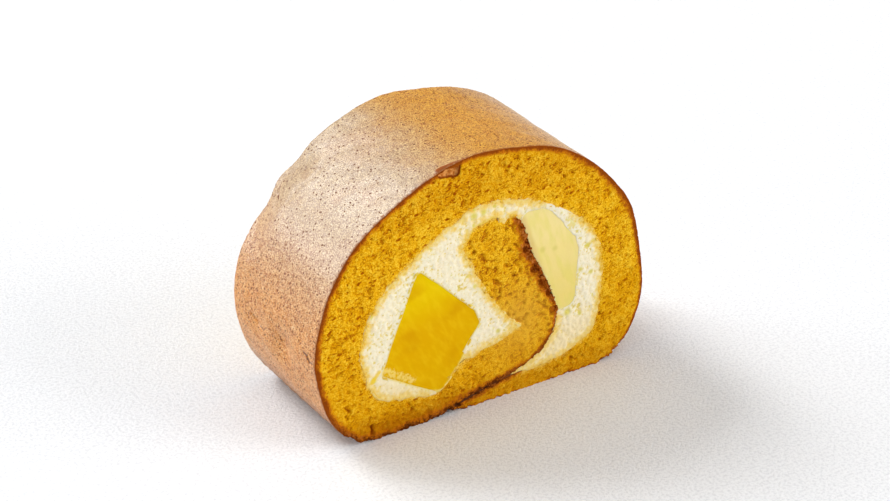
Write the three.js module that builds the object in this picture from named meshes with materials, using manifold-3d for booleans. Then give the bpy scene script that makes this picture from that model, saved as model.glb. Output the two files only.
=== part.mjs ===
// A slice cut from a rolled sponge cake, in millimetres: X runs across the cut face, Y along the
// roll from the front cut to the back cut, and Z up from the board that the slice stands on.
//
// One sheet of sponge is rolled once round a filling of whipped cream, and the cream holds a chunk
// of mango and a wedge of a paler fruit. The sheet starts in the middle as a thick flap, drops to
// the board, goes up the left side, over the top and down the right side, and ends in a thin tail
// that is tucked under the roll.
import * as THREE from "three";
import { mergeVertices } from "three/addons/utils/BufferGeometryUtils.js";
import Module from "manifold-3d";

const wasm = await Module();
wasm.setup();

// ---- Driving dimensions ----
const SLICE_LENGTH = 36;      // from the front cut to the back cut
const CONTACT_GAP = 0.3;      // clearance between pieces that touch
const PRESSED_FLAT = 0.25;    // how far the cake's own weight flattens its underside
const OUTLINE_FACET = 2.2;    // length of the flats along an outline
const LENGTH_STEPS = 6;       // flats along the roll

// The sheet's middle line and its thickness, [x, z, thickness], from the flap's end to the tail.
const SHEET = [
  [2, 41.5, 14.5], [3.5, 38, 14.5], [6.5, 31, 13.5], [10, 25.5, 12.5], [14.5, 16.5, 9.5],
  [11.5, 12.5, 10], [-4.5, 7.8, 9.5], [-11.5, 4, 6], [-21.5, 4, 8.5], [-32, 7, 10.5],
  [-37.5, 21.5, 11], [-35, 34, 12], [-28, 44, 14], [-6.5, 56, 13], [5.5, 56, 12],
  [19, 51.5, 12.5], [33, 39, 10.5], [36.5, 27.5, 10.5], [36.5, 14, 12], [32.5, 6, 10],
  [17, 2.5, 5], [6.5, 2.4, 4.8], [-9, 1, 0.6],
];
const RING_START = 8;         // the station where the flap turns into the outer ring
const TAIL_START = 20;        // the station where the ring turns into the tail
// The flap's blunt end reaches past its first station, further at the cream face.
const FLAP_END = { creamReach: 4.5, crustReach: 2, squareness: 2.8 };

const MANGO = {
  corners: [[-17.5, 39.5], [-27, 16], [-12.5, 7], [-1.5, 21.5], [-3, 25]],
  rounding: 1.2,
};
// The pale wedge leans on the flap, and its left side is trimmed to fit there.
const PALE_WEDGE = {
  corners: [[9, 34], [17, 18], [24, 18], [25, 36], [21, 41.5], [15.5, 45], [9, 46]],
  rounding: 2.4,
};

// Hollows in the crust. Each is centred at a turn round the roll's core, in degrees from +X to +Z,
// and at a y along the roll, and it spreads that far round (degrees) and along before it fades out.
const HOLLOWS = [
  { turn: 149, y: 18, depth: 2.2, round: 8, along: 6 },
  { turn: 130, y: 18, depth: 1.3, round: 6, along: 7 },
  { turn: 89, y: 18, depth: 0.5, round: 6, along: 6 },
  { turn: 185, y: -2, depth: 0.9, round: 9, along: 8 },
];
const CORE = new THREE.Vector2(0, 24);
const CORE_RADIUS = 22;       // nothing inside this moves
const CRUST_RADIUS = 38;      // a hollow has its full depth out here

// ---- Outlines, as lists of points with x across and y up ----

const STATION_STEPS = 12;     // points along the line between two stations
const WHOLE_SHEET = sheetLine(SHEET);
const FLAP = WHOLE_SHEET.slice(0, (RING_START + 1) * STATION_STEPS);
const RING = WHOLE_SHEET.slice(RING_START * STATION_STEPS);
const RING_TO_TAIL = WHOLE_SHEET.slice(RING_START * STATION_STEPS, TAIL_START * STATION_STEPS);

// Points along the sheet's middle line, with the half thickness and the direction at each of them.
function sheetLine(stations) {
  const points = stations.map((station) => new THREE.Vector3(...station));
  const line = new THREE.CatmullRomCurve3(points, false, "centripetal");
  const steps = (stations.length - 1) * STATION_STEPS;
  return Array.from({ length: steps + 1 }, (_, i) => {
    const at = line.getPoint(i / steps);
    const tangent = line.getTangent(i / steps);
    const along = new THREE.Vector2(tangent.x, tangent.y).normalize();
    return {
      middle: new THREE.Vector2(at.x, at.y),
      half: at.z / 2,
      along,
      left: new THREE.Vector2(-along.y, along.x),
    };
  });
}

// The crust face (side 1) or the cream face (side -1) along a line, pushed out by spare.
function sheetFace(line, side, spare) {
  return line.map((s) => s.middle.clone().addScaledVector(s.left, side * (s.half + spare)));
}

// The flap's blunt end, half a superellipse from the cream face to the crust face.
function flapEnd(start, spare) {
  const steps = 16;
  const blunt = (share) => Math.sign(share) * Math.abs(share) ** (2 / FLAP_END.squareness);
  return Array.from({ length: steps - 1 }, (_, i) => {
    const share = (i + 1) / steps;
    const turn = Math.PI * share;
    const reach = THREE.MathUtils.lerp(FLAP_END.creamReach, FLAP_END.crustReach, share);
    return start.middle.clone()
      .addScaledVector(start.left, -blunt(Math.cos(turn)) * (start.half + spare))
      .addScaledVector(start.along, -blunt(Math.sin(turn)) * (reach + spare));
  });
}

function sheetOutline(line, spare) {
  const creamFace = sheetFace(line, -1, spare).reverse();
  return evenFacets([...creamFace, ...flapEnd(line[0], spare), ...sheetFace(line, 1, spare)]);
}

// A convex polygon with rounded corners, pushed out by spare. The corners run anticlockwise.
function roundedOutline({ corners, rounding }, spare) {
  const steps = 4;
  const points = corners.map((corner) => new THREE.Vector2(...corner));
  return points.flatMap((corner, i) => {
    const before = points.at(i - 1).clone().sub(corner).normalize();
    const after = points[(i + 1) % points.length].clone().sub(corner).normalize();
    const opening = Math.acos(before.dot(after));
    const inward = before.clone().add(after).normalize();
    const centre = corner.clone().addScaledVector(inward, rounding / Math.sin(opening / 2));
    const sweep = Math.PI - opening;
    return Array.from({ length: steps + 1 }, (_, k) => {
      const turn = inward.angle() + Math.PI + sweep * (k / steps - 0.5);
      const out = new THREE.Vector2(Math.cos(turn), Math.sin(turn));
      return centre.clone().addScaledVector(out, rounding + spare);
    });
  });
}

// The same closed outline, with its points a facet apart.
function evenFacets(outline) {
  const path = [...outline, outline[0]];
  const reach = [0];
  for (let i = 1; i < path.length; i++) {
    reach.push(reach[i - 1] + path[i].distanceTo(path[i - 1]));
  }
  const count = Math.round(reach.at(-1) / OUTLINE_FACET);
  let i = 1;
  return Array.from({ length: count }, (_, k) => {
    const target = (reach.at(-1) * k) / count;
    while (reach[i] < target) i++;
    const share = (target - reach[i - 1]) / (reach[i] - reach[i - 1]);
    return path[i - 1].clone().lerp(path[i], share);
  });
}

// ---- Solids ----

// Where a point of the plain roll ends up, once the hollows and the flat underside are pressed in.
function settle(x, y, z) {
  const arm = new THREE.Vector2(x, z).sub(CORE);
  const turn = THREE.MathUtils.radToDeg(arm.angle());
  const share = THREE.MathUtils.smoothstep(arm.length(), CORE_RADIUS, CRUST_RADIUS);
  let pressed = 0;
  for (const hollow of HOLLOWS) {
    const round = (turn - hollow.turn) / hollow.round;
    const along = (y - hollow.y) / hollow.along;
    pressed += share * hollow.depth * Math.exp(-round * round - along * along);
  }
  arm.setLength(arm.length() - pressed).add(CORE);
  return [arm.x, y, Math.max(0, arm.y - PRESSED_FLAT)];
}

// An outline carried through the slice from the front cut to the back cut.
function throughSlice(outline) {
  const geometry = new THREE.ExtrudeGeometry(new THREE.Shape(outline), {
    depth: SLICE_LENGTH,
    steps: LENGTH_STEPS,
    bevelEnabled: false,
  });
  geometry.rotateX(Math.PI / 2);
  geometry.translate(0, SLICE_LENGTH / 2, 0);
  const positions = geometry.attributes.position;
  for (let i = 0; i < positions.count; i++) {
    positions.setXYZ(i, ...settle(positions.getX(i), positions.getY(i), positions.getZ(i)));
  }
  return toSolid(geometry);
}

function toSolid(geometry) {
  geometry.deleteAttribute("normal");
  geometry.deleteAttribute("uv");
  const merged = mergeVertices(geometry);
  return new wasm.Manifold(new wasm.Mesh({
    numProp: 3,
    vertProperties: new Float32Array(merged.attributes.position.array),
    triVerts: new Uint32Array(merged.index.array),
  }));
}

function toGeometry(solid) {
  const { vertProperties, triVerts } = solid.getMesh();
  const geometry = new THREE.BufferGeometry();
  geometry.setAttribute("position", new THREE.BufferAttribute(vertProperties, 3));
  geometry.setIndex(new THREE.BufferAttribute(triVerts, 1));
  geometry.computeVertexNormals();
  return geometry;
}

const sheetAndGap = throughSlice(sheetOutline(FLAP, CONTACT_GAP))
  .add(throughSlice(sheetOutline(RING, CONTACT_GAP)));
const mangoAndGap = throughSlice(roundedOutline(MANGO, CONTACT_GAP));
const wedgeAndGap = throughSlice(roundedOutline(PALE_WEDGE, CONTACT_GAP));
const insideRing = throughSlice(evenFacets(RING_TO_TAIL.map((station) => station.middle)));

const SOLIDS = {
  sponge: throughSlice(sheetOutline(WHOLE_SHEET, 0)),
  cream: insideRing.subtract(sheetAndGap).subtract(mangoAndGap).subtract(wedgeAndGap),
  mango: throughSlice(roundedOutline(MANGO, 0)).subtract(sheetAndGap),
  pale_wedge: throughSlice(roundedOutline(PALE_WEDGE, 0)).subtract(sheetAndGap),
};

const LOOKS = {
  sponge: { color: 0xd8a11c, roughness: 0.9, metalness: 0 },
  cream: { color: 0xf2e4c3, roughness: 0.6, metalness: 0 },
  mango: { color: 0xe6b404, roughness: 0.35, metalness: 0 },
  pale_wedge: { color: 0xe8d07c, roughness: 0.45, metalness: 0 },
};

const group = new THREE.Group();
group.name = "swiss_roll_slice";
for (const [name, solid] of Object.entries(SOLIDS)) {
  const piece = new THREE.Mesh(toGeometry(solid), new THREE.MeshStandardMaterial(LOOKS[name]));
  piece.name = name;
  group.add(piece);
}

// The origin is on the board, under the middle of the slice.
const middle = new THREE.Box3().setFromObject(group).getCenter(new THREE.Vector3());
group.children.forEach((piece) => piece.geometry.translate(-middle.x, -middle.y, 0));

export default group;
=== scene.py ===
"""A slice of Swiss roll: a rolled sheet of sponge, whipped cream, a chunk of mango and a pale wedge."""

import math

import bmesh
import bpy
import numpy as np
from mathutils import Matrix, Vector
from mathutils.bvhtree import BVHTree
from mathutils.kdtree import KDTree


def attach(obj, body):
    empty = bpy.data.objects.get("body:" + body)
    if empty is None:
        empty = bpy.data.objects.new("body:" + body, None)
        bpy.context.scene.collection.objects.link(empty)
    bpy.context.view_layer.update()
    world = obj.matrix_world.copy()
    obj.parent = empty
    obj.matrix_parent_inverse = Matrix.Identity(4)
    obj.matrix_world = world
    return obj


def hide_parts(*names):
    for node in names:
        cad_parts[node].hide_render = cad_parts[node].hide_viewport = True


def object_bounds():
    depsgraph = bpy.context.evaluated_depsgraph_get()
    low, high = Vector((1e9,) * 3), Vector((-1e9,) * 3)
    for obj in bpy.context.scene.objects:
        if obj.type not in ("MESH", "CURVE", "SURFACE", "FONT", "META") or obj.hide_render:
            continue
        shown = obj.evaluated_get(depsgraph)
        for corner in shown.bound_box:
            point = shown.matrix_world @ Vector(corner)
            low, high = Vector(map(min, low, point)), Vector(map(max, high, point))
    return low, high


bl_info = {
    "name": "Swiss Roll Slice",
    "version": (1, 0, 0),
    "blender": (4, 5, 0),
    "location": "View3D > Sidebar > Swiss Roll",
    "description": "Models a slice of rolled sponge cake piece by piece on its packed CAD frame",
    "category": "Object",
}

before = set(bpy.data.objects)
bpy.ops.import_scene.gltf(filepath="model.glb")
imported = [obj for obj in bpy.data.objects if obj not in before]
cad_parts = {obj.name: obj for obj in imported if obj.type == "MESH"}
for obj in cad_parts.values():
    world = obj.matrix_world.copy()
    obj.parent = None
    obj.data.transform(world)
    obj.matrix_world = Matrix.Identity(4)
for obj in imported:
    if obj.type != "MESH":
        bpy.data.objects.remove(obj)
CAD_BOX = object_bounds()

MM = 0.001
BODY = "root"
FRONT_CUT = CAD_BOX[0].y
BACK_CUT = CAD_BOX[1].y
OVERHANG = 1.5 * MM            # how far a tube runs past each cut before it is trimmed
MERGE = 1e-6                   # vertices closer than this are one
UPRIGHT = 0.99                 # a face whose normal has less than this along Y is a side

# The sheet across the cut, [x, z, thickness, brown] in millimetres, from the flap's end to the
# tail's tip. The crust is on its left all the way, and its colour fades out twice brown deep.
SHEET = [
    (2, 41.5, 14.5, 1.4), (3.5, 38, 14.5, 2.1), (6.5, 31, 13.5, 2.8), (10, 25.5, 12.5, 2.5),
    (14.5, 16.5, 9.5, 0.9), (11.5, 12.5, 10, 0.9), (-4.5, 7.8, 9.5, 1.3), (-11.5, 4, 6, 1.5),
    (-21.5, 4, 8.5, 1.5), (-32, 7, 10.5, 1.4), (-37.5, 21.5, 11, 1.1), (-35, 34, 12, 1.0),
    (-28, 44, 14, 1.0), (-6.5, 56, 13, 0.9), (5.5, 56, 12, 0.9), (19, 51.5, 12.5, 1.1),
    (33, 39, 10.5, 1.3), (36.5, 27.5, 10.5, 0.8), (36.5, 14, 12, 0.7), (32.5, 6, 10, 0.5),
    (17, 2.5, 5, 0.3), (6.5, 2.4, 4.8, 0.3), (-9, 1, 0.6, 0.3),
]
RING_START = 8                 # the station where the flap turns into the outer ring
FLAP_END = 5                   # the station where the standing part of the flap ends
SEAM_END = 9.5                 # the station where the flap's underside is on the board
TAIL_START = 19.5              # the station where the tail starts to touch the flap

# Hollows in the crust: turn about the core in degrees from +X, y along the roll, depth, and how far
# each spreads round the roll (degrees) and along it. Lengths are in millimetres.
CORE = (0, 24)
HOLLOWS = [
    (149, 18, 2.5, 8, 5), (133, 18, 1.2, 6, 6), (160, 18, 0.5, 5, 5), (184, -3, 1.3, 5, 4),
    (183, 8, 0.5, 4, 5),
]

# Holes, slits and cracks in the front cut: from (x, z) to (x, z), half width and depth.
FRONT_MARKS = [
    ((2.6, 29.8), (3.8, 29.1), 0.35, 0.6), ((8.3, 18.5), (9.4, 17.8), 0.4, 0.6),
    ((5.2, 33.5), (5.9, 32.8), 0.3, 0.5), ((-0.8, 36.8), (0.2, 36.0), 0.3, 0.5),
    ((-37.3, 39.9), (-36.9, 39.1), 0.5, 0.6), ((-35.9, 10.6), (-35.0, 9.4), 0.3, 0.9),
    ((-29.3, 3.9), (-29.4, 1.6), 0.3, 1.0), ((13.7, 21.7), (16.8, 18.9), 0.22, 0.5),
    ((10.4, 35.5), (10.9, 34.6), 0.5, 0.8), ((12.7, 30.2), (13.1, 29.3), 0.5, 0.9),
    ((14.8, 26.3), (15.3, 25.3), 0.5, 0.9), ((16.6, 23.6), (17.0, 22.4), 0.45, 0.8),
    ((17.8, 18.6), (17.9, 17.4), 0.4, 0.7),
]
# Cracks in the crust: from (x, y, z) to (x, y, z), half width and depth.
CRUST_MARKS = [
    ((-42.8, 10.6, 22.1), (-42.6, 8.4, 20.9), 0.35, 0.5),
    ((-42.6, 8.4, 20.9), (-42.4, 5.9, 20.6), 0.25, 0.4),
    ((-42.9, -12.6, 24.3), (-42.9, -14.6, 24.4), 0.25, 0.4),
    ((-42.9, -14.6, 24.4), (-42.9, -15.2, 23.3), 0.35, 0.5),
    ((-42.9, -15.2, 23.3), (-42.9, -16.9, 23.6), 0.25, 0.4),
    ((-32.4, 15.8, 47.4), (-33.6, 12.2, 46.2), 0.30, 0.5),
]
# Where a flake of crust has come off the front edge, and the lifted lip behind it: from (x, y, z)
# to (x, y, z) and half width.
FLAKE = [
    ((-11.6, -18.0, 60.1), (-7.6, -18.0, 59.3), 0.35), ((-10.2, -18.0, 60.4), (-7.6, -18.0, 60.5), 0.6),
    ((-7.4, -18.0, 59.2), (-7.1, -18.0, 61.0), 0.3),
]
LIP = [((-11.8, -17.3, 60.9), (-6.9, -17.6, 61.7), 0.4)]
# Where the cream is pressed over the flap's end: (x, z), its reach and how far it goes.
NOTCH = ((4.4, 45.0), 0.6, 1.6)
# Where the cream is pressed over the wedge, with how far it goes in each of two steps, the place
# below it whose faces are small too, and the wedge's middle.
LAP = ((22.4, 38.6), 7.0, (0.7, 0.8))
BELOW_LAP = ((24.2, 30.4), 4.5)
WEDGE_MIDDLE = (18, 33)
# Where the mango bulges against the sponge and covers the cream: (x, z), its reach and how far.
BULGE = ((-9.0, 10.6), 5.5, 1.1)
# Where the flap's end swells into the cream, in the same way.
SWELL = ((-1.0, 42.8), 6.5, 2.0)
# The bend of the flap that the knife has wiped smooth: its middle (x, z) and how far it spreads.
WIPED = ((9.0, 19), (8, 9))
# Flecks in the cream and on the wedge: (x, z) and radius.
CREAM_FLECKS = [
    (-3.2, 48.1, 0.8), (-0.7, 48.3, 0.7), (-2.9, 30.8, 0.5), (25.4, 26.4, 0.6), (25.7, 15.0, 0.5),
    (28.4, 25.0, 0.6), (27.3, 32.2, 0.6), (3.4, 17.5, 0.5), (22.2, 16.4, 0.9), (-28.8, 15.3, 0.7),
]
WEDGE_FLECKS = [(15.1, 34.5, 0.7), (18.4, 33.9, 0.6)]
# The cream smeared over the mango, the mango showing through the cream, and the painted shadow on
# the wedge beside the flap's crust: from (x, y, z) to (x, y, z) and half width.
SMEARS = [((-26.2, -18, 16.9), (-19.1, -18, 12.0), 0.4)]
SLIVERS = [((-29.3, -18, 14.9), (-27.4, -18, 17.0), 0.35)]
WEDGE_SHADOW = [((9.2, -18, 43), (17.9, -18, 18), 0.6)]


def srgb(red, green, blue):
    """A display colour, each part 0 to 255, as the linear colour that Blender works in."""
    parts = [part / 255 for part in (red, green, blue)]
    return tuple(p / 12.92 if p <= 0.04045 else ((p + 0.055) / 1.055) ** 2.4 for p in parts)


def length(name, description, default):
    """A size that a user can set, in metres."""
    return bpy.props.FloatProperty(
        name=name, description=description, default=default, min=0, unit="LENGTH", precision=5
    )


def colour(name, description, red, green, blue):
    """A colour that a user can set."""
    return bpy.props.FloatVectorProperty(
        name=name, description=description, default=srgb(red, green, blue),
        size=3, min=0, max=1, subtype="COLOR",
    )


class SpongeSettings(bpy.types.PropertyGroup):
    grain: length("Grain", "Spacing of the cut faces' grid", 0.32 * MM)
    seam: length("Seam", "How far the sheet is swollen to close its seam", 0.145 * MM)
    underlap: length("Underlap", "How far the sheet runs on under the cream", 0.4 * MM)
    crumb_relief: length("Crumb relief", "Depth of the cut crumb's pores", 0.5 * MM)
    crust_relief: length("Crust relief", "Height of the crust's unevenness", 0.5 * MM)
    crumb: colour("Crumb", "Colour of the open crumb", 227, 165, 4)
    crumb_light: colour("Crumb light", "Colour of the crumb's raised grains", 248, 204, 54)
    crumb_shadow: colour("Crumb shadow", "Colour down in the crumb's pores", 162, 82, 2)
    wiped: colour("Wiped crumb", "Colour of the crumb that the knife has smoothed", 224, 168, 52)
    crust_edge: colour("Crust edge", "Colour of the crust where it is cut", 140, 66, 12)
    toasted: colour("Toasted crumb", "Colour of the crumb just under the crust", 192, 108, 15)
    torn: colour("Torn crust", "Colour under the flake that has come off", 228, 158, 84)
    crust: colour("Crust", "Colour of the outer skin on the roll's top", 209, 139, 1)
    # Paler and greyer than the skin: partly the side's own tan, partly painted sheen where it catches
    # the light.
    crust_side_and_sheen: colour("Crust side", "Colour of the outer skin on the roll's side", 170, 141, 108)
    crust_low: colour("Crust low", "Colour of the outer skin near the board", 226, 142, 12)
    crust_speck: colour("Crust speck", "Colour of the skin's small pits", 98, 42, 2)


class CreamSettings(bpy.types.PropertyGroup):
    grain: length("Grain", "Spacing of the cut faces' grid", 0.25 * MM)
    spread: length("Spread", "How far the cream is pressed over its neighbours", 0.35 * MM)
    raggedness: length("Raggedness", "How unevenly its edge runs", 0.9 * MM)
    proud: length("Proud", "How far it stands out of the cut", 0.05 * MM)
    relief: length("Relief", "Height of the swirls and bubbles on the cut", 0.22 * MM)
    cream: colour("Cream", "Colour of the cream", 241, 229, 197)
    shade: colour("Shade", "Colour in the cream's small pores", 230, 208, 118)
    fleck: colour("Fleck", "Colour of the small flecks", 218, 204, 84)


class MangoSettings(bpy.types.PropertyGroup):
    grain: length("Grain", "Spacing of the cut faces' grid", 0.4 * MM)
    flesh: colour("Flesh", "Colour of the flesh", 229, 193, 1)
    ripe: colour("Ripe", "Colour of the riper flesh", 222, 168, 0)


class WedgeSettings(bpy.types.PropertyGroup):
    grain: length("Grain", "Spacing of the cut faces' grid", 0.3 * MM)
    flesh: colour("Flesh", "Colour of the flesh", 238, 218, 146)
    core: colour("Core", "Colour of the flesh at its lower end", 234, 212, 122)


class StageSettings(bpy.types.PropertyGroup):
    floor: colour("Floor", "Colour of the floor", 238, 238, 239)


# ---- Modelling ----


def pick(piece):
    """Leaves this piece as the only one selected, and active."""
    bpy.ops.object.select_all(action="DESELECT")
    piece.select_set(True)
    bpy.context.view_layer.objects.active = piece


def edit(piece):
    """Goes into edit mode on this piece alone."""
    pick(piece)
    bpy.ops.object.mode_set(mode="EDIT")


def select_in_mesh(piece, kind, wanted):
    """In edit mode, selects the faces or edges (kind) that wanted says yes to."""
    bpy.ops.mesh.select_mode(type=kind)
    bpy.ops.mesh.select_all(action="DESELECT")
    mesh = bmesh.from_edit_mesh(piece.data)
    parts = mesh.faces if kind == "FACE" else mesh.edges
    for part in parts:
        if wanted(part):
            part.select_set(True)
    bmesh.update_edit_mesh(piece.data)


def face_outward():
    """Turns all the faces outward and leaves edit mode."""
    bpy.ops.mesh.select_all(action="SELECT")
    bpy.ops.mesh.normals_make_consistent(inside=False)
    bpy.ops.object.mode_set(mode="OBJECT")


def apply_modifier(piece, kind, **settings):
    """Adds a modifier with these settings and applies it."""
    pick(piece)
    bpy.ops.object.modifier_add(type=kind)
    modifier = piece.modifiers[-1]
    for name, value in settings.items():
        setattr(modifier, name, value)
    bpy.ops.object.modifier_apply(modifier=modifier.name)


def clouds(name, size, depth=2, low=0.0, high=1.0):
    """A soft noise texture of that grain, cut off below low and above high."""
    texture = bpy.data.textures.new(name, "CLOUDS")
    texture.noise_scale = size
    texture.noise_depth = depth
    texture.use_color_ramp = True
    texture.color_ramp.elements[0].position = low
    texture.color_ramp.elements[0].color = (0, 0, 0, 1)
    texture.color_ramp.elements[1].position = high
    texture.color_ramp.elements[1].color = (1, 1, 1, 1)
    return texture


def cells(name, size):
    """A texture of cells of that size, 0 at their walls and rising to their middles."""
    texture = bpy.data.textures.new(name, "VORONOI")
    texture.noise_scale = size
    texture.weight_1 = -1
    texture.weight_2 = 1
    return texture


def relief(piece, texture, height, group="", middle=0.5):
    """Raises the surface by a texture, or evenly where there is none."""
    apply_modifier(
        piece, "DISPLACE", texture=texture, strength=height, mid_level=middle,
        vertex_group=group, texture_coords="LOCAL", direction="NORMAL",
    )


def push(piece, name, weights, height):
    """Moves the surface out by that height, in proportion to the weights."""
    relief(piece, None, height, paint(piece, name, weights), middle=0)


def rows(parts, name):
    """A vector that each vertex or face of a mesh has, as an array with one row each."""
    found = np.empty(len(parts) * 3, np.float32)
    parts.foreach_get(name, found)
    return found.reshape(-1, 3)


def places(piece):
    """The vertices' places."""
    return rows(piece.data.vertices, "co")


def facings(piece):
    """Which way each vertex faces across the roll (x, z)."""
    return rows(piece.data.vertex_normals, "vector")[:, [0, 2]]


def paint(piece, name, weights):
    """A vertex group with these weights, in steps of 1/20."""
    steps = 20
    group = piece.vertex_groups.new(name=name)
    levels = np.round(np.clip(weights, 0, 1) * steps).astype(int)
    for level in range(1, steps + 1):
        chosen = np.flatnonzero(levels == level).tolist()
        if chosen:
            group.add(chosen, level / steps, "REPLACE")
    return name


def note(piece, name, values):
    """A number on every vertex, for the piece's material to read."""
    attribute = piece.data.attributes.new(name, "FLOAT", "POINT")
    attribute.data.foreach_set("value", np.asarray(values, np.float32))


def refine(piece, wanted, cuts):
    """Subdivides the faces that wanted says yes to."""
    edit(piece)
    select_in_mesh(piece, "FACE", wanted)
    bpy.ops.mesh.subdivide(number_cuts=cuts)
    bpy.ops.object.mode_set(mode="OBJECT")


def outline_tube(node, name, steps):
    """An open tube through the slice, with the outline of a CAD node's front cut."""
    piece = bpy.data.objects.new(name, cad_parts[node].data.copy())
    piece.data.name = name
    piece.data.materials.clear()
    bpy.context.collection.objects.link(piece)
    edit(piece)
    bpy.ops.mesh.select_all(action="SELECT")
    bpy.ops.mesh.remove_doubles(threshold=MERGE)
    select_in_mesh(piece, "FACE", lambda face: face.normal.y > -UPRIGHT)
    bpy.ops.mesh.delete(type="FACE")
    bpy.ops.mesh.select_all(action="SELECT")
    bpy.ops.mesh.dissolve_faces()
    bpy.ops.mesh.select_all(action="SELECT")
    bpy.ops.mesh.delete(type="ONLY_FACE")
    bpy.ops.mesh.select_mode(type="EDGE")
    bpy.ops.mesh.select_all(action="SELECT")
    bpy.ops.transform.translate(value=(0, -OVERHANG, 0))
    stride = (BACK_CUT - FRONT_CUT + 2 * OVERHANG) / steps
    for _ in range(steps):
        bpy.ops.mesh.extrude_region_move(TRANSFORM_OT_translate={"value": (0, stride, 0)})
    face_outward()
    return piece


def close_ends(piece):
    """Fills the tube's two open ends."""
    edit(piece)
    for at_this_end in (lambda y: y < FRONT_CUT - MERGE, lambda y: y > BACK_CUT + MERGE):
        select_in_mesh(
            piece, "EDGE",
            lambda edge: edge.is_boundary and all(at_this_end(v.co.y) for v in edge.verts),
        )
        bpy.ops.mesh.edge_face_add()
    face_outward()


def trim_to_slice(piece, grain, proud=0.0):
    """Cuts the tube off at both cuts and gives the cut faces an even grid of small faces."""
    low, high = CAD_BOX
    margin = 2 * MM
    width = high.x - low.x + 2 * margin
    height = high.z - low.z + 2 * margin
    bpy.ops.object.select_all(action="DESELECT")
    bpy.ops.mesh.primitive_grid_add(
        x_subdivisions=round(width / grain), y_subdivisions=round(height / grain), size=1,
        location=(0, FRONT_CUT - proud, (low.z + high.z) / 2), rotation=(math.pi / 2, 0, 0),
    )
    block = bpy.context.object
    block.scale = (width, height, 1)
    bpy.ops.object.transform_apply(location=True, rotation=True, scale=True)
    bpy.ops.object.mode_set(mode="EDIT")
    bpy.ops.mesh.select_all(action="SELECT")
    run = BACK_CUT - FRONT_CUT + 2 * proud
    bpy.ops.mesh.extrude_region_move(TRANSFORM_OT_translate={"value": (0, run, 0)})
    face_outward()
    apply_modifier(piece, "BOOLEAN", operation="INTERSECT", object=block, solver="MANIFOLD")
    bpy.data.meshes.remove(block.data)


def on_cut(piece, proud=0.0):
    """Which vertices lie on the two cuts."""
    y = places(piece)[:, 1]
    near = 0.01 * MM
    return (np.abs(y - FRONT_CUT + proud) < near) | (np.abs(y - BACK_CUT - proud) < near)


def dress(piece, cut_look, side_look=None):
    """Puts one material on the cut faces and another on the sides."""
    piece.data.materials.clear()
    piece.data.materials.append(cut_look)
    if side_look is None:
        return
    piece.data.materials.append(side_look)
    sides = np.abs(rows(piece.data.polygons, "normal")[:, 1]) < UPRIGHT
    piece.data.polygons.foreach_set("material_index", sides.astype(np.int32))


def away_from(points, node):
    """Which of the points are not beside this CAD node."""
    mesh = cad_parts[node].data
    tree = BVHTree.FromPolygons(
        [vertex.co for vertex in mesh.vertices], [face.vertices for face in mesh.polygons]
    )
    reach = 1.6 * MM
    return np.array([tree.find_nearest(point)[3] > reach for point in points])


def rim_share(piece, cut, reach, besides=()):
    """How near each vertex is to the cut faces' rim: 1 on it, 0 beyond the reach.

    The parts of the rim that are beside certain other nodes are left out.
    """
    where = places(piece)
    rim = where[rim_of(piece, cut)]
    for node in besides:
        rim = rim[away_from(rim, node)]
    return np.clip(1 - nearest_of(rim, where)[1] / reach, 0, 1)


def fruit_piece(node, name, settings, look, bulge=None):
    """A chunk of fruit through the slice, with smooth and slightly uneven sides and cuts."""
    proud, swelling, held_at_rim = 0.03 * MM, 0.3 * MM, 0.9
    fruit = outline_tube(node, name, steps=12)
    apply_modifier(fruit, "SUBSURF", levels=1, render_levels=1)
    relief(fruit, None, swelling, middle=0)
    push(fruit, "in cream", away_from(places(fruit), "sponge"), swelling)
    if bulge:
        push(fruit, "bulge", swell_weights(fruit, bulge), bulge[2] * MM)
    relief(fruit, clouds(name + " sides", 5 * MM), 0.5 * MM)
    close_ends(fruit)
    trim_to_slice(fruit, settings.grain, proud)
    dress(fruit, look)
    cut = on_cut(fruit, proud)
    edge = rim_share(fruit, cut, 1.8 * MM)
    note(fruit, "edge", edge)
    face = paint(fruit, "face", cut * (1 - held_at_rim * edge))
    relief(fruit, clouds(name + " waves", 5 * MM), 0.1 * MM, face)
    return fruit


def finish_piece(piece, node):
    """Smooths the piece's shading and ties it to the CAD node that it stands for."""
    pick(piece)
    bpy.ops.object.shade_smooth_by_angle(angle=math.radians(50))
    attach(piece, BODY)
    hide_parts(node)


# ---- Where things are on the sheet ----


def along_sheet(points, facing=None):
    """For points (x, z) in millimetres: how far along the stations each is, and if it is crustward.

    With the way each faces, it counts as part of the layer that it is the outside of.
    """
    sheet = np.array(SHEET, float)
    start, run = sheet[:-1, :2], np.diff(sheet[:, :2], axis=0)
    gap = points[:, None, :] - start[None]
    share = (gap * run).sum(2) / (run * run).sum(1)
    held = np.clip(share, 0, 1)
    thickness = sheet[:-1, 2] + held * np.diff(sheet[:, 2])
    out = gap - held[..., None] * run
    depth = np.linalg.norm(out, axis=2) / thickness
    if facing is not None:
        depth += (out * facing[:, None, :]).sum(2) < 0
    nearest = depth.argmin(1)
    row = np.arange(len(points))
    crustward = run[nearest, 0] * gap[row, nearest, 1] - run[nearest, 1] * gap[row, nearest, 0] > 0
    past_end = (nearest == 0) & (share[row, 0] < 0)
    return nearest + held[row, nearest], crustward & ~past_end


def swell_weights(piece, swell):
    """How far each vertex goes with a swell, as a share of the most."""
    middle, reach, _ = swell
    off = places(piece)[:, [0, 2]] / MM - middle
    return np.clip(1 - (off ** 2).sum(1) / reach ** 2, 0, 1)


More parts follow.
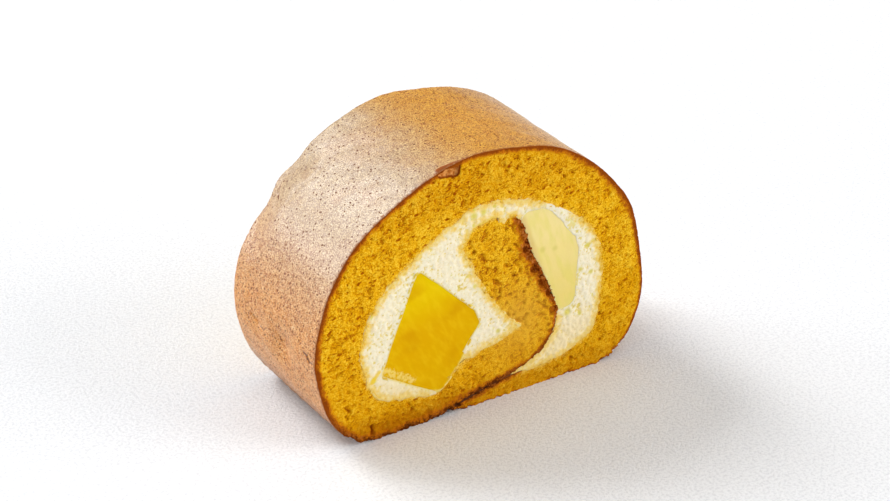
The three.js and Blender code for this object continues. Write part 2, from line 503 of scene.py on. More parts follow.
def hollow_weights(piece):
    """How deep each vertex lies in a hollow of the crust, as a share of the deepest one."""
    where = places(piece) / MM
    arm = where[:, [0, 2]] - CORE
    turn = np.degrees(np.arctan2(arm[:, 1], arm[:, 0])) % 360
    depth = np.zeros(len(where))
    for centre, y, middle_depth, spread, reach in HOLLOWS:
        off_round, off_along = (turn - centre) / spread, (where[:, 1] - y) / reach
        depth += middle_depth * np.exp(-(off_round ** 2) - off_along ** 2)
    station, crustward = along_sheet(where[:, [0, 2]])
    depth[~crustward | (station < RING_START)] = 0
    return depth / max(hollow[2] for hollow in HOLLOWS)


def nearness(where, start, end, reach, edge):
    """1 within reach of the line from start to end, falling to 0 over the edge's width beyond it."""
    start, end = np.array(start), np.array(end)
    run = end - start
    gap = where - start
    share = np.clip(gap @ run / (run @ run), 0, 1)
    distance = np.linalg.norm(gap - share[:, None] * run, axis=1)
    return np.clip((reach + edge - distance) / edge, 0, 1)


def deepest(marks):
    """The depth of the deepest mark."""
    return max(mark[3] for mark in marks) * MM


def mark_weights(where, marks):
    """How deep each place lies in a mark, as a share of the deepest one."""
    weights = np.zeros(len(where))
    for start, end, half_width, depth in marks:
        share = depth * MM / deepest(marks)
        weights = np.maximum(weights, share * nearness(where, start, end, 0, 2 * half_width))
    return weights


def chip_weights(where, chips, fade=0.3):
    """1 within each chip's half width of its line, falling to 0 over the fade outside it."""
    return np.max([nearness(where, start, end, half, fade) for start, end, half in chips], axis=0)


def fleck_weights(where, flecks):
    """1 in the middle of each fleck, 0 outside it."""
    weights = np.zeros(len(where))
    for x, z, radius in flecks:
        distance = np.linalg.norm(where[:, [0, 2]] - (x, z), axis=1)
        weights = np.maximum(weights, np.clip(1.5 - distance / radius, 0, 1))
    weights[where[:, 1] > 0] = 0
    return weights


def rim_of(piece, cut):
    """The vertices where the cut faces meet the sides."""
    sides = set()
    for polygon in piece.data.polygons:
        if abs(polygon.normal.y) < UPRIGHT:
            sides.update(polygon.vertices)
    return np.array([i for i in np.flatnonzero(cut) if i in sides])


def nearest_of(points, where):
    """For each of these places: the number of the nearest of the points, and how far it is."""
    tree = KDTree(len(points))
    for i, point in enumerate(points):
        tree.insert(point, i)
    tree.balance()
    found = [tree.find(place)[1:] for place in where]
    return np.array([i for i, _ in found]), np.array([distance for _, distance in found])


def note_height(piece, cut, proud=0.0):
    """Notes how far the cut's surface stands out, in millimetres, once its relief is made."""
    y = places(piece)[:, 1]
    outward = np.where(y < 0, FRONT_CUT - y, y - BACK_CUT) - proud
    note(piece, "height", np.where(cut, outward, 0) / MM)


# ---- Materials ----


class Look:
    """A node material as it is put together. Each method adds a node and gives back its result."""

    def __init__(self, name, **shader):
        self.material = bpy.data.materials.new(name)
        self.material.use_nodes = True
        self.tree = self.material.node_tree
        self.shader = self.tree.nodes["Principled BSDF"]
        self.here = self.add("TexCoord").outputs["Object"]
        self.right, self.back, self.up = self.add("SeparateXYZ", {0: self.here}).outputs
        self.set(**shader)

    def set(self, **values):
        """Sets or links the shader's sockets, with _ for the spaces in their names."""
        for name, value in values.items():
            self.feed(self.shader.inputs[name.replace("_", " ")], value)

    def feed(self, socket, value):
        """Links another node's result to the socket, or sets a plain value on it.

        A word stands for the attribute of that name.
        """
        if isinstance(value, str):
            value = self.add("Attribute", attribute_name=value).outputs["Fac"]
        if isinstance(value, bpy.types.NodeSocket):
            self.tree.links.new(value, socket)
        elif socket.type == "RGBA" and len(value) == 3:
            socket.default_value = (*value, 1)
        else:
            socket.default_value = value

    def add(self, kind, inputs=None, **settings):
        node = self.tree.nodes.new("ShaderNode" + kind)
        for name, value in settings.items():
            setattr(node, name, value)
        for socket, value in (inputs or {}).items():
            self.feed(node.inputs[socket], value)
        return node

    def noise(self, size, detail=2.0, roughness=0.5, distortion=0.0, at=None):
        inputs = {
            "Vector": at or self.here, "Scale": 1 / size, "Detail": detail,
            "Roughness": roughness, "Distortion": distortion,
        }
        return self.add("TexNoise", inputs).outputs["Fac"]

    def spots(self, size, near, far, shares, at=None, bias=None, strength=1.0):
        """Round spots in the cells of that size, from full at near to none at far from their middles.

        Each cell has a random number, with the bias added: the spot of one past the shares is full,
        and that of one below them is left out.
        """
        cell = self.add("TexVoronoi", {"Vector": at or self.here, "Scale": 1 / size})
        chosen = self.add("SeparateColor", {0: cell.outputs["Color"]}).outputs["Red"]
        if bias is not None:
            chosen = self.combine("ADD", chosen, bias)
        spot = self.between(cell.outputs["Distance"], near, far, strength, 0.0)
        return self.combine("MULTIPLY", spot, self.between(chosen, *shares))

    def warped(self, size, reach):
        """The place on the piece, shifted about by a noise of that size."""
        shift = self.add("TexNoise", {"Vector": self.here, "Scale": 1 / size, "Detail": 1.0})
        centred = self.vector("SUBTRACT", shift.outputs["Color"], (0.5, 0.5, 0.5))
        return self.vector("ADD", self.here, self.vector("SCALE", centred, 2 * reach))

    def stretched(self, along, factor, at=None):
        """The place with lengths along one direction made shorter, so a pattern runs that way."""
        direction = Vector(along).normalized()
        place = at or self.here
        dot = self.vector("DOT_PRODUCT", place, direction)
        return self.vector(
            "ADD", place, self.vector("SCALE", direction, self.sum(dot, 0, factor - 1))
        )

    def vector(self, operation, first, second):
        """A vector calculation. SCALE takes a number as its second part, DOT_PRODUCT gives one."""
        inputs = {0: first, "Scale" if operation == "SCALE" else 1: second}
        node = self.add("VectorMath", inputs, operation=operation)
        return node.outputs["Value" if operation == "DOT_PRODUCT" else "Vector"]

    def sum(self, value, plus=0.0, times=1.0):
        """value * times + plus."""
        return self.add("Math", {0: value, 1: times, 2: plus}, operation="MULTIPLY_ADD").outputs[0]

    def combine(self, operation, total, *others):
        for value in others:
            total = self.add("Math", {0: total, 1: value}, operation=operation).outputs[0]
        return total

    def frayed(self, value, *noises):
        """The value made uneven by noises, each (noise, how much)."""
        return self.combine("ADD", value, *(self.sum(noise, -much / 2, much) for noise, much in noises))

    def between(self, value, low, high, to_low=0.0, to_high=1.0):
        """Smoothly from to_low at low to to_high at high."""
        inputs = {"Value": value, "From Min": low, "From Max": high, "To Min": to_low, "To Max": to_high}
        return self.add("MapRange", inputs, interpolation_type="SMOOTHSTEP").outputs["Result"]

    def mix(self, share, first, second, blend="MIX"):
        """The first colour, with that share of the second one in it."""
        factor, colour_a, colour_b, result = 0, 6, 7, 2
        inputs = {factor: share, colour_a: first, colour_b: second}
        return self.add("Mix", inputs, data_type="RGBA", blend_type=blend).outputs[result]

    def tint(self, colour, tint, value, low, high, at_low=0.0, at_high=1.0):
        """The colour with the tint mixed in: its share goes from at_low to at_high with the value."""
        return self.mix(self.between(value, low, high, at_low, at_high), colour, tint)

    def ramp(self, value, *stops):
        """A colour that runs through the stops, each (position, colour)."""
        node = self.add("ValToRGB", {"Fac": value})
        elements = node.color_ramp.elements
        while len(elements) < len(stops):
            elements.new(0.5)
        for element, (position, colour) in zip(elements, stops):
            element.position = position
            element.color = (*colour, 1)
        return node.outputs["Color"]

    def bump(self, height, distance, strength=1.0):
        inputs = {"Height": height, "Distance": distance, "Strength": strength}
        return self.add("Bump", inputs).outputs["Normal"]


# Painted shade down in the seam between the flap and the ring, over the crust's own brown.
SEAM_SHADE = srgb(92, 42, 8)    # down in the seam between the flap and the ring


def crumb_look(settings):
    look = Look("cut crumb", Roughness=0.9, Specular_IOR_Level=0.02)
    curled = look.warped(1.4 * MM, 0.4 * MM)
    fine = look.noise(0.34 * MM, roughness=0.6, at=curled)
    blotch = look.noise(1.6 * MM)
    stroke = crumb_strokes(look, curled)
    lying = look.stretched((1, 0, 0.4), 0.5, at=curled)
    pit = look.spots(1.25 * MM, 0.10, 0.32, (0.42, 0.70), at=lying)
    raised = look.between("height", -0.50, 0.14)
    tone = look.frayed(look.sum(fine, -0.06, 1.14), (raised, 0.32), (look.noise(6 * MM), 0.40))
    tone = look.combine("ADD", tone, look.sum(stroke, 0, -0.30), look.sum(pit, 0, -0.58))
    colour = look.ramp(
        tone, (0.17, settings.crumb_shadow), (0.42, srgb(204, 134, 8)), (0.59, settings.crumb),
        (0.84, settings.crumb_light),
    )
    colour = look.tint(colour, srgb(212, 146, 2), look.up, 6 * MM, 34 * MM, 0.32, 0.0)
    colour = look.mix(look.sum("wiped", 0, 0.75), colour, settings.wiped)
    moist = look.frayed("creamside", (fine, 1.0), (blotch, 1.2))
    colour = look.tint(colour, srgb(240, 200, 88), moist, 0.35, 1.1, at_high=0.9)
    # Darker towards the bottom on the left: painted shade where the tail lies low by the board, over the
    # pressed crumb's own deeper colour.
    low = look.between(look.frayed(look.up, (blotch, 6 * MM)), 1 * MM, 8 * MM, 0.75, 0.0)
    leftward = look.between(look.right, -8 * MM, 4 * MM, 1.0, 0.45)
    colour = look.mix(look.combine("MULTIPLY", low, leftward), colour, srgb(166, 92, 2))
    high = look.between(look.up, 44 * MM, 56 * MM)
    colour = look.mix(high, colour, srgb(245, 238, 238), blend="MULTIPLY")
    colour = crust_line(look, settings, colour, fine)
    colour = torn_colour(look, settings, colour)
    colour = look.tint(colour, srgb(150, 70, 8), "mark", 0.25, 0.9, at_high=0.85)
    height = look.combine("ADD", fine, look.sum(stroke, 0, -0.6))
    look.set(Base_Color=colour, Normal=look.bump(height, 0.20 * MM, 0.7))
    return look.material


def crumb_strokes(look, curled):
    """The short dark curls between the crumb's grains."""
    swirl = look.noise(0.95 * MM, detail=1, distortion=1.0, at=look.stretched((1, 0, 0.2), 0.5))
    ridge = look.add("Math", {0: look.sum(swirl, -0.5)}, operation="ABSOLUTE").outputs[0]
    stroke = look.between(ridge, 0.012, 0.055, 1.0, 0.0)
    broken = look.between(look.noise(1.5 * MM, detail=1, at=curled), 0.40, 0.56)
    return look.combine("MULTIPLY", stroke, broken)


def crust_line(look, settings, colour, fine):
    """The colour with the cut crust put in: a brown line that is broad and lumpy on the flap."""
    rough = look.noise(0.8 * MM, roughness=0.7)
    uneven = look.noise(2.4 * MM)
    edge = look.frayed("browning", (fine, 0.80), (uneven, 0.76), (rough, 0.56))
    lumpy = look.ramp(
        rough, (0.38, srgb(98, 38, 6)), (0.48, settings.crust_edge), (0.58, srgb(176, 98, 36)),
        (0.72, srgb(200, 130, 66)),
    )
    line = look.mix("lumps", settings.crust_edge, lumpy)
    # Along the seam the cut crust line is painted shade, broken by brown crust.
    slit = look.tint(SEAM_SHADE, srgb(150, 82, 26), rough, 0.46, 0.62)
    line = look.mix("seam", line, slit)
    colour = look.tint(colour, settings.toasted, edge, 0.26, 0.60)
    return look.tint(colour, line, edge, 0.48, 0.82)


def torn_colour(look, settings, colour):
    """The colour with the place under the fallen flake put in, dark round its edge: painted shadow of
    the lifted skin together with the brown of its cut edge.
    """
    # Painted shadow on the lip and round the recess, over the crust's brown cut edge.
    colour = look.tint(colour, srgb(150, 76, 14), "lip", 0.1, 0.7)
    colour = look.tint(colour, settings.crust_edge, "torn", 0.05, 0.35)
    patch = look.tint(srgb(190, 112, 44), settings.torn, look.noise(0.7 * MM), 0.38, 0.60)
    return look.tint(colour, patch, "torn", 0.45, 0.95)


def crust_look(settings):
    look = Look("crust skin", Specular_IOR_Level=0.62)
    place = look.warped(1.2 * MM, 0.25 * MM)
    soft = look.noise(1.1 * MM, roughness=0.6, at=place)
    fine = look.noise(0.23 * MM, detail=1, roughness=0.6)
    grain = look.combine("ADD", look.sum(fine, 0, 0.8), look.sum(soft, 0, 0.2))
    base, on_top = crust_base(look, settings)
    # The band along the roll's shoulder where the skin shines: its dark pits are fewer and paler there,
    # a painted sheen.
    sheen_band = look.between(look.up, 36 * MM, 50 * MM)
    sheen_band = look.combine("MULTIPLY", sheen_band, look.sum(on_top, 1, -1))
    pitted = look.between(grain, 0.40, 0.50, 1.0, 0.0)
    dark = look.mix(1.0, base, srgb(176, 126, 56), blend="MULTIPLY")
    colour = look.mix(look.combine("MULTIPLY", pitted, look.sum(sheen_band, 1, -0.50)), base, dark)
    # Painted glints on the raised grains: whitish on the side, gold on top.
    light = look.mix(0.7, base, look.mix(on_top, srgb(232, 202, 152), srgb(238, 190, 72)))
    colour = look.tint(colour, light, grain, 0.50, 0.60)
    bias = look.combine("ADD", look.sum(on_top, 0.35, -0.45), look.sum(sheen_band, 0, -0.50))
    dot = look.spots(0.9 * MM, 0.14, 0.33, (0.25, 0.45), at=place, bias=bias, strength=0.95)
    colour = look.mix(dot, colour, settings.crust_speck)
    at_cut = look.combine(
        "MULTIPLY", look.between(look.frayed("browning", (soft, 1.2)), 0.52, 1.0),
        look.between(look.back, -8 * MM, 0, 1.0, 0.0),
    )
    colour = look.mix(look.sum(at_cut, 0, 0.75), colour, settings.crust_edge)
    crack = look.frayed("mark", (soft, 1.0))
    colour = look.tint(colour, srgb(112, 60, 24), crack, 0.25, 0.55)
    colour = look.tint(colour, srgb(214, 146, 40), crack, 0.65, 1.05)
    # Painted shade down in the seam on the skin.
    colour = look.mix(look.sum("seam", 0, 0.9), colour, SEAM_SHADE)
    colour = torn_colour(look, settings, colour)
    rough = look.sum(pitted, 0.33, 0.12)
    rough = look.combine("MAXIMUM", rough, dot, at_cut, "seam", "lip", "torn")
    height = look.combine("ADD", grain, look.sum(dot, 0, -0.5))
    look.set(Base_Color=colour, Roughness=rough, Normal=look.bump(height, 0.08 * MM, 0.7))
    return look.material


def crust_base(look, settings):
    """The crust's colour, tan on the side with painted sheen in it and golden on top, and how far a
    place is on top.
    """
    drift = look.noise(9 * MM, detail=3, roughness=0.6)
    across = look.frayed(look.vector("DOT_PRODUCT", look.here, (1, 0, 0.25)), (drift, 12 * MM))
    on_top = look.between(across, -5 * MM, 20 * MM)
    base = look.mix(on_top, settings.crust_side_and_sheen, settings.crust)
    base = look.tint(base, settings.crust_low, look.up, 22 * MM, 54 * MM, 1.0, 0.0)
    base = look.tint(base, settings.crust_side_and_sheen, across, 24 * MM, 40 * MM, at_high=0.45)
    return look.tint(base, srgb(168, 100, 36), drift, 0.42, 0.70, at_high=0.30), on_top


def cream_look(settings):
    look = Look(
        "whipped cream", Roughness=0.6, Specular_IOR_Level=0.15, Subsurface_Weight=0.3,
        Subsurface_Scale=1.5 * MM, Subsurface_Radius=(1.0, 0.8, 0.5),
    )
    stirred = look.warped(2 * MM, 0.5 * MM)
    fine = look.noise(0.45 * MM, detail=3, roughness=0.7)
    raised = look.between("height", -0.32, 0.05)
    tone = look.combine("ADD", look.sum(raised, -0.35, 0.45), fine)
    colour = look.ramp(
        tone, (0.12, srgb(214, 196, 84)), (0.34, settings.shade), (0.48, settings.cream),
        (0.8, srgb(246, 238, 214)),
    )
    pore = look.spots(1.1 * MM, 0.10, 0.28, (0.50, 0.75), at=stirred, strength=0.8)
    colour = look.mix(pore, colour, srgb(220, 198, 92))
    halo = look.frayed("edge", (fine, 1.2), (look.noise(1.5 * MM), 1.3))
    colour = look.tint(colour, srgb(238, 202, 90), halo, 0.20, 0.9, at_high=0.9)
    colour = look.tint(colour, srgb(230, 172, 40), halo, 0.80, 1.20)
    low = look.between(look.up, 9 * MM, 20 * MM, 0.40, 0.0)
    high = look.between(look.up, 42 * MM, 50 * MM, 0.0, 0.15)
    colour = look.mix(look.combine("MAXIMUM", low, high), colour, srgb(238, 208, 126))
    juice = look.frayed("juice", (fine, 1.0))
    colour = look.tint(colour, srgb(238, 208, 70), juice, 0.40, 1.0, at_high=0.7)
    fleck = look.spots(2.9 * MM, 0.08, 0.20, (0.60, 0.80), at=stirred, strength=0.8)
    fleck = look.combine("MAXIMUM", fleck, "fleck")
    colour = look.mix(look.sum(fleck, 0, 0.85), colour, settings.fleck)
    colour = look.mix(look.sum("sliver", 0, 0.8), colour, srgb(238, 200, 40))
    look.set(Base_Color=colour, Normal=look.bump(fine, 0.16 * MM, 0.7))
    return look.material


def juicy_cream_look(settings):
    """The thin side of the cream that shows where it meets the fruit."""
    look = Look("cream side", Roughness=0.6, Specular_IOR_Level=0.15)
    stained = look.noise(0.8 * MM)
    look.set(Base_Color=look.tint(settings.cream, srgb(244, 214, 90), stained, 0.40, 0.60))
    return look.material


def mango_look(settings):
    look = Look(
        "mango flesh", Roughness=0.45, Specular_IOR_Level=0.02, Subsurface_Weight=0.3,
        Subsurface_Scale=2.0 * MM, Subsurface_Radius=(1.0, 0.6, 0.05),
    )
    fibres = look.noise(1.5 * MM, at=look.stretched((0.55, 0.0, -0.83), 0.4))
    drift = look.noise(7 * MM, detail=1)
    low = look.between(look.up, 22 * MM, 36 * MM, 1.0, 0.0)
    colour = look.mix(look.frayed(low, (drift, 0.5)), settings.flesh, settings.ripe)
    colour = look.tint(colour, srgb(244, 214, 30), fibres, 0.40, 0.75, at_high=0.28)
    colour = look.tint(colour, srgb(208, 148, 0), drift, 0.50, 0.72, at_high=0.5)
    rubbed = look.frayed("edge", (fibres, 0.8))
    colour = look.tint(colour, srgb(248, 226, 130), rubbed, 0.60, 1.05, at_high=0.85)
    smear = look.frayed("smear", (look.noise(0.9 * MM, roughness=0.7), 2.5))
    colour = look.tint(colour, srgb(242, 216, 118), smear, 0.55, 1.1, at_high=0.75)
    look.set(Base_Color=colour, Normal=look.bump(fibres, 0.12 * MM, 0.3))
    return look.material


def wedge_look(settings):
    look = Look(
        "pale flesh", Roughness=0.5, Specular_IOR_Level=0.1, Subsurface_Weight=0.3,
        Subsurface_Scale=2.0 * MM, Subsurface_Radius=(1.0, 0.75, 0.3),
    )
    low = look.between(look.up, 20 * MM, 42 * MM, 0.9, 0.0)
    share = look.frayed(low, (look.noise(5 * MM), 0.5))
    colour = look.mix(share, settings.flesh, settings.core)
    streaks = look.noise(1.6 * MM, detail=3, at=look.stretched((-0.3, 0.0, 1.0), 0.3))
    colour = look.tint(colour, srgb(226, 212, 108), streaks, 0.42, 0.66, at_high=0.45)
    halo = look.frayed("edge", (look.noise(0.8 * MM, roughness=0.7), 1.2))
    colour = look.tint(colour, srgb(240, 228, 164), halo, 0.65, 1.2, at_high=0.85)
    # Painted shadow along the wedge's edge beside the flap's crust strip.
    colour = look.tint(colour, srgb(218, 182, 112), "wedge_shadow", 0.0, 1.0, at_high=0.65)
    colour = look.mix(look.sum("fleck", 0, 0.45), colour, srgb(206, 192, 84))
    look.set(Base_Color=colour, Normal=look.bump(look.noise(1.0 * MM, detail=3), 0.08 * MM, 0.4))
    return look.material


def floor_look(settings):
    look = Look("pale plaster", Roughness=0.8, Specular_IOR_Level=0.2)
    rough = look.noise(0.7 * MM, detail=4, roughness=0.7)
    dusty = look.mix(1.0, settings.floor, srgb(238, 238, 239), blend="MULTIPLY")
    colour = look.tint(dusty, settings.floor, rough, 0.36, 0.56)
    look.set(Base_Color=colour, Normal=look.bump(rough, 0.30 * MM, 1.0))
    return look.material


# ---- The pieces, one operator each ----


class ROLL_OT_sponge(bpy.types.Operator):
    """Models the rolled sheet: open crumb on the cuts and a thin brown crust outside"""

    bl_idname = "swiss_roll.sponge"
    bl_label = "Sponge"

    def execute(self, context):
        settings = context.scene.swiss_roll_sponge
        sheet = outline_tube("sponge", "rolled_sponge", steps=16)
        apply_modifier(sheet, "SUBSURF", levels=1, render_levels=1)
        self.refine_crust(sheet)
        self.shape_crust(sheet, settings)
        close_ends(sheet)
        trim_to_slice(sheet, settings.grain)
        dress(sheet, crumb_look(settings), crust_look(settings))
        cut = on_cut(sheet)
        self.measure(sheet, cut)
        self.open_crumb(sheet, settings, cut)
        note_height(sheet, cut)
        finish_piece(sheet, "sponge")
        return {"FINISHED"}

    def refine_crust(self, sheet):
        """Gives the outer crust smaller faces, and smaller ones still where it is damaged."""

        def outer(face):
            centre = face.calc_center_median() / MM
            station, crustward = along_sheet(np.array([[centre.x, centre.z]]))
            return crustward[0] and station[0] > RING_START

        def damaged(face):
            centre = np.array([face.calc_center_median() / MM])
            reach = 2.5
            near = [nearness(centre, mark[0], mark[1], reach, 0.1)[0] for mark in CRUST_MARKS]
            near += [nearness(centre, chip[0], chip[1], reach, 0.1)[0] for chip in FLAKE]
            return max(near) > 0 and face.normal.y ** 2 < 0.5

        refine(sheet, outer, cuts=1)
        refine(sheet, damaged, cuts=1)

    def shape_crust(self, sheet, settings):
        """Closes the seam and makes the hollows, swells, wrinkles and cracks of the crust."""
        relief(sheet, None, settings.seam, middle=0)
        station, crustward = along_sheet(places(sheet)[:, [0, 2]] / MM, facings(sheet))
        push(sheet, "beside cream", ~crustward & (station < TAIL_START), settings.underlap)
        push(sheet, "swell", swell_weights(sheet, SWELL), SWELL[2] * MM)
        push(sheet, "hollows", hollow_weights(sheet), -max(hollow[2] for hollow in HOLLOWS) * MM)
        station, crustward = along_sheet(places(sheet)[:, [0, 2]] / MM)
        outside = paint(sheet, "outside", crustward * np.clip(station - RING_START, 0, 1))
        relief(sheet, clouds("crust swell", 11 * MM), settings.crust_relief, outside)
        relief(sheet, clouds("crust wrinkle", 2.5 * MM), settings.crust_relief * 0.3, outside)
        underside = paint(sheet, "underside", crustward * self.on_board(sheet))
        relief(sheet, clouds("underside crumbs", 1.6 * MM, 2, 0.3, 0.7), 0.7 * MM, underside)
        cracks = mark_weights(places(sheet) / MM, CRUST_MARKS)
        push(sheet, "cracks", cracks, -deepest(CRUST_MARKS))

    def on_board(self, sheet):
        """1 where a vertex lies on the board, falling to 0 where the sheet has left it."""
        left_board, fade = 6, 3
        return np.clip((left_board - places(sheet)[:, 2] / MM) / fade, 0, 1)

    def measure(self, sheet, cut):
        """Works out where the crumb is browned, moist, wiped or marked, and notes it all."""
        where = places(sheet)
        flat = where[:, [0, 2]] / MM
        rim = rim_of(sheet, cut)
        station, crustward = along_sheet(flat[rim], facings(sheet)[rim])
        brown = [place[3] for place in SHEET]
        reach = np.interp(station[crustward], range(len(brown)), brown) * MM
        nearest, depth = nearest_of(where[rim[crustward]], where)
        self.browning = np.clip(1 - depth / (2 * reach[nearest]), 0, 1)
        beside = station[crustward][nearest]
        under_flap = np.clip(beside - FLAP_END + 0.5, 0, 1) * np.clip(SEAM_END - beside, 0, 1)
        moist_reach = 2.0 * MM
        from_cream = nearest_of(where[rim[~crustward]], where)[1]
        self.creamside = np.clip(1 - from_cream / moist_reach, 0, 1)
        self.station = along_sheet(flat)[0]
        self.flap = cut * np.clip(FLAP_END - self.station, 0, 1)
        wiped_middle, wiped_spread = WIPED
        off = (flat - wiped_middle) / wiped_spread
        wiped_all_over_flap = 0.1
        self.wiped = np.exp(-(off ** 2).sum(1)) * (where[:, 1] < 0)
        self.wiped = np.maximum(self.wiped, wiped_all_over_flap * self.flap)
        self.marks = mark_weights(flat, FRONT_MARKS) * (where[:, 1] < FRONT_CUT + MERGE)
        cracks = mark_weights(where / MM, CRUST_MARKS) * ~cut
        self.flake = chip_weights(where / MM, FLAKE)
        self.lip = chip_weights(where / MM, LIP)
        lumpy = np.maximum(0.5 * under_flap, self.on_board(sheet)) * cut
        self.lumps = np.maximum(self.flap, lumpy) * np.clip(3 * self.browning, 0, 1)
        notes = {
            "browning": self.browning, "seam": under_flap, "creamside": self.creamside,
            "wiped": self.wiped, "mark": np.maximum(self.marks, cracks), "torn": self.flake,
            "lip": self.lip, "lumps": self.lumps,
        }
        for name, values in notes.items():
            note(sheet, name, values)

    def open_crumb(self, sheet, settings, cut):
        """Gives the cut faces their pores, grains and marks."""
        held_where_wiped, held_by_crust, held_by_cream = 0.65, 0.8, 0.7
        free = cut * (1 - held_where_wiped * self.wiped) * (1 - held_by_cream * self.creamside)
        free *= 1 - held_by_crust * self.browning * (self.station > FLAP_END)
        crumb = paint(sheet, "crumb", free)
        depth = settings.crumb_relief
        relief(sheet, clouds("crumb swell", 5 * MM), 0.8 * depth, crumb)
        relief(sheet, clouds("crumb grain", 0.8 * MM, 1, 0.3, 0.7), 0.45 * depth, crumb)
        relief(sheet, cells("crumb pores", 0.8 * MM), -0.7 * depth, crumb, middle=0.2)
        relief(sheet, clouds("crumb holes", 1.1 * MM, 1, 0.66, 0.78), -0.8 * depth, crumb, middle=0)
        holes = paint(sheet, "flap crumb", self.flap)
        relief(sheet, clouds("flap holes", 1.1 * MM, 2, 0.58, 0.72), -0.9 * depth, holes, middle=0)
        lumps = paint(sheet, "flap crust", self.lumps)
        relief(sheet, clouds("flap lumps", 1.0 * MM, 1, 0.3, 0.7), 0.5 * MM, lumps)
        push(sheet, "marks", self.marks, -deepest(FRONT_MARKS))
        flake_depth, lip_rise = 0.9 * MM, 0.45 * MM
        push(sheet, "flake", self.flake, -flake_depth)
        push(sheet, "lip", self.lip * (1 - self.flake), lip_rise)


class ROLL_OT_cream(bpy.types.Operator):
    """Models the whipped cream, pressed unevenly over the edges of what it touches"""

    bl_idname = "swiss_roll.cream"
    bl_label = "Cream"

    def execute(self, context):
        settings = context.scene.swiss_roll_cream
        cream = outline_tube("cream", "whipped_cream", steps=10)
        apply_modifier(cream, "SUBSURF", levels=2, render_levels=2)
        refine(cream, self.lapped, cuts=2)
        self.press_sides(cream, settings)
        close_ends(cream)
        trim_to_slice(cream, settings.grain, settings.proud)
        dress(cream, cream_look(settings), juicy_cream_look(settings))
        cut = on_cut(cream, settings.proud)
        self.measure(cream, cut)
        self.swirl(cream, settings, cut)
        finish_piece(cream, "cream")
        return {"FINISHED"}

    def lapped(self, face):
        """Whether the face is where the cream laps over the wedge, which needs smaller faces."""
        centre = face.calc_center_median() / MM
        lapped = (LAP[:2], BELOW_LAP)
        return any(math.dist((centre.x, centre.z), middle) < reach for middle, reach in lapped)

    def press_sides(self, cream, settings):
        """Presses the cream over its neighbours, unevenly, with its notch and its lap."""
        flat = places(cream)[:, [0, 2]] / MM
        facing = facings(cream)
        beside_crust = along_sheet(flat, -facing)[1]
        loose = away_from(places(cream), "mango") & away_from(places(cream), "pale_wedge")
        held = 0.3
        sides = paint(cream, "sides", np.where(~beside_crust & loose, 1, held))
        relief(cream, None, settings.spread, middle=0)
        push(cream, "swell", swell_weights(cream, SWELL), -SWELL[2] * MM)
        relief(cream, clouds("cream edge", 2.4 * MM, 4, 0.3, 0.7), settings.raggedness, sides)
        front = places(cream)[:, 1] < 0
        middle, reach, press = NOTCH
        off_notch = np.linalg.norm(flat - middle, axis=1)
        push(cream, "notch", front * np.clip(2 - off_notch / reach, 0, 1), press * MM)
        over_wedge = ((WEDGE_MIDDLE - flat) * facing).sum(1) > 0
        lap = paint(cream, "lap", front * over_wedge * swell_weights(cream, LAP))
        for step in LAP[2]:
            relief(cream, None, step * MM, lap, middle=0)

    def measure(self, cream, cut):
        """Notes the stained edges, the flecks and the sliver of mango."""
        where = places(cream) / MM
        note(cream, "edge", rim_share(cream, cut, 3.0 * MM, besides=("mango", "pale_wedge")))
        note(cream, "juice", rim_share(cream, cut, 0.9 * MM, besides=("sponge", "pale_wedge")))
        note(cream, "fleck", fleck_weights(where, CREAM_FLECKS))
        note(cream, "sliver", chip_weights(where, SLIVERS))

    def swirl(self, cream, settings, cut):
        """Gives the cuts their swirls and bubbles, and sinks them where the mango covers them."""
        held_at_rim, sunk = 0.9, 0.25 * MM
        face = paint(cream, "face", cut * (1 - held_at_rim * rim_share(cream, cut, 1.2 * MM)))
        relief(cream, clouds("cream swirl", 4 * MM), 1.5 * settings.relief, face)
        relief(cream, clouds("cream bubbles", 0.9 * MM, 1, 0.3, 0.7), settings.relief, face)
        note_height(cream, cut, settings.proud)
        push(cream, "covered", cut * np.clip(1.5 * swell_weights(cream, BULGE), 0, 1), -sunk)


class ROLL_OT_mango(bpy.types.Operator):
    """Models the chunk of mango"""

    bl_idname = "swiss_roll.mango"
    bl_label = "Mango"

    def execute(self, context):
        settings = context.scene.swiss_roll_mango
        chunk = fruit_piece("mango", "mango_chunk", settings, mango_look(settings), BULGE)
        note(chunk, "smear", chip_weights(places(chunk) / MM, SMEARS, fade=1.8))
        finish_piece(chunk, "mango")
        return {"FINISHED"}


class ROLL_OT_pale_wedge(bpy.types.Operator):
    """Models the pale wedge that leans on the flap"""

    bl_idname = "swiss_roll.pale_wedge"
    bl_label = "Pale wedge"

    def execute(self, context):
        settings = context.scene.swiss_roll_pale_wedge
        wedge = fruit_piece("pale_wedge", "pale_fruit_wedge", settings, wedge_look(settings))
        where = places(wedge) / MM
        note(wedge, "fleck", fleck_weights(where, WEDGE_FLECKS))
        note(wedge, "wedge_shadow", chip_weights(where, WEDGE_SHADOW, fade=1.5))
        finish_piece(wedge, "pale_wedge")
        return {"FINISHED"}


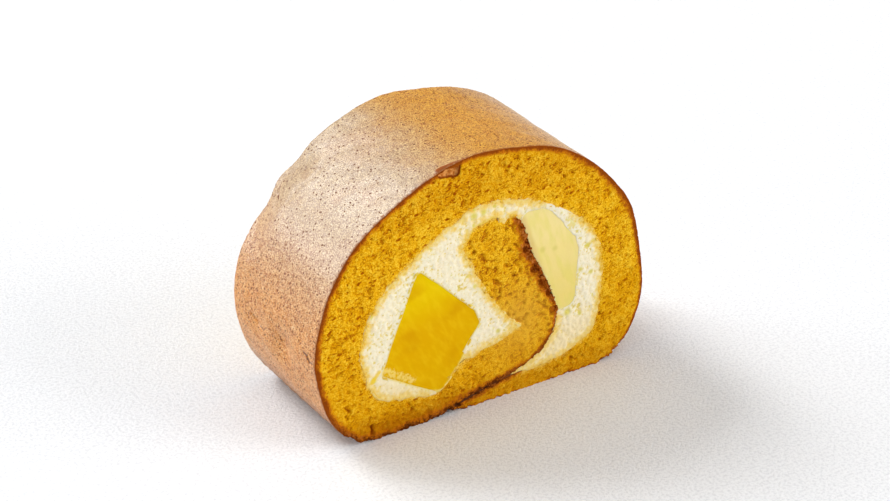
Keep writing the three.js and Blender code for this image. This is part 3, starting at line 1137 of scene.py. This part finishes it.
class ROLL_OT_stage(bpy.types.Operator):
    """Lays the pale floor, hangs the soft lights and sets up the camera"""

    bl_idname = "swiss_roll.stage"
    bl_label = "Stage"

    def execute(self, context):
        settings = context.scene.swiss_roll_stage
        bpy.ops.object.select_all(action="DESELECT")
        bpy.ops.mesh.primitive_plane_add(size=6, location=(0, 0, 0))
        floor = context.object
        floor.name = "floor"
        floor.data.materials.append(floor_look(settings))
        self.hang("key light", (-0.92, 1.89, 2.14), size=1.2, power=63, tint=(0.99, 1.0, 1.01))
        self.hang("window", (-1.87, 2.18, 0.88), size=1.2, power=36, tint=(0.91, 1.0, 1.09))
        self.hang("overhead", (0, 0, 3), size=4.0, power=25, tint=(1, 1, 1))
        self.hang("front fill", (2.2, -2.2, 1.2), size=2.0, power=71, tint=(1, 1, 1))
        world = bpy.data.worlds.new("studio")
        world.use_nodes = True
        background = world.node_tree.nodes["Background"]
        background.inputs["Color"].default_value = (1, 1, 1, 1)
        background.inputs["Strength"].default_value = 0.38
        context.scene.world = world
        context.scene.view_settings.view_transform = "Standard"
        self.set_camera(context)
        return {"FINISHED"}

    def hang(self, name, place, size, power, tint):
        """A square soft light that faces the slice."""
        light = bpy.data.lights.new(name, "AREA")
        light.size = size
        light.energy = power
        light.color = tint
        lamp = bpy.data.objects.new(name, light)
        lamp.location = place
        lamp.rotation_euler = (-Vector(place)).to_track_quat("-Z", "Y").to_euler()
        bpy.context.collection.objects.link(lamp)

    def set_camera(self, context):
        camera = bpy.data.objects.new("camera", bpy.data.cameras.new("camera"))
        camera.data.sensor_width = 36
        camera.data.lens = 97.1
        camera.location = (-0.2533, -0.3966, 0.2902)
        camera.rotation_euler = (math.radians(90 - 28.9), 0, math.radians(-32.67))
        context.collection.objects.link(camera)
        context.scene.camera = camera


class ROLL_PT_pieces(bpy.types.Panel):
    """Lists the slice's pieces and their sizes and colours"""

    bl_idname = "ROLL_PT_pieces"
    bl_label = "Swiss Roll"
    bl_space_type = "VIEW_3D"
    bl_region_type = "UI"
    bl_category = "Swiss Roll"

    def draw(self, context):
        for operator, name, group in PIECES:
            box = self.layout.box()
            box.operator(operator.bl_idname)
            settings = getattr(context.scene, name)
            for setting in group.__annotations__:
                box.prop(settings, setting)


# Each operator with its settings' name in the scene and their group, in the order they are run.
PIECES = [
    (ROLL_OT_sponge, "swiss_roll_sponge", SpongeSettings),
    (ROLL_OT_cream, "swiss_roll_cream", CreamSettings),
    (ROLL_OT_mango, "swiss_roll_mango", MangoSettings),
    (ROLL_OT_pale_wedge, "swiss_roll_pale_wedge", WedgeSettings),
    (ROLL_OT_stage, "swiss_roll_stage", StageSettings),
]


def register():
    for operator, name, group in PIECES:
        bpy.utils.register_class(group)
        setattr(bpy.types.Scene, name, bpy.props.PointerProperty(type=group))
        bpy.utils.register_class(operator)
    bpy.utils.register_class(ROLL_PT_pieces)


def unregister():
    bpy.utils.unregister_class(ROLL_PT_pieces)
    for operator, name, group in reversed(PIECES):
        bpy.utils.unregister_class(operator)
        delattr(bpy.types.Scene, name)
        bpy.utils.unregister_class(group)


def main():
    register()
    bpy.ops.swiss_roll.sponge()
    bpy.ops.swiss_roll.cream()
    bpy.ops.swiss_roll.mango()
    bpy.ops.swiss_roll.pale_wedge()
    bpy.ops.swiss_roll.stage()


if __name__ == "__main__":
    main()
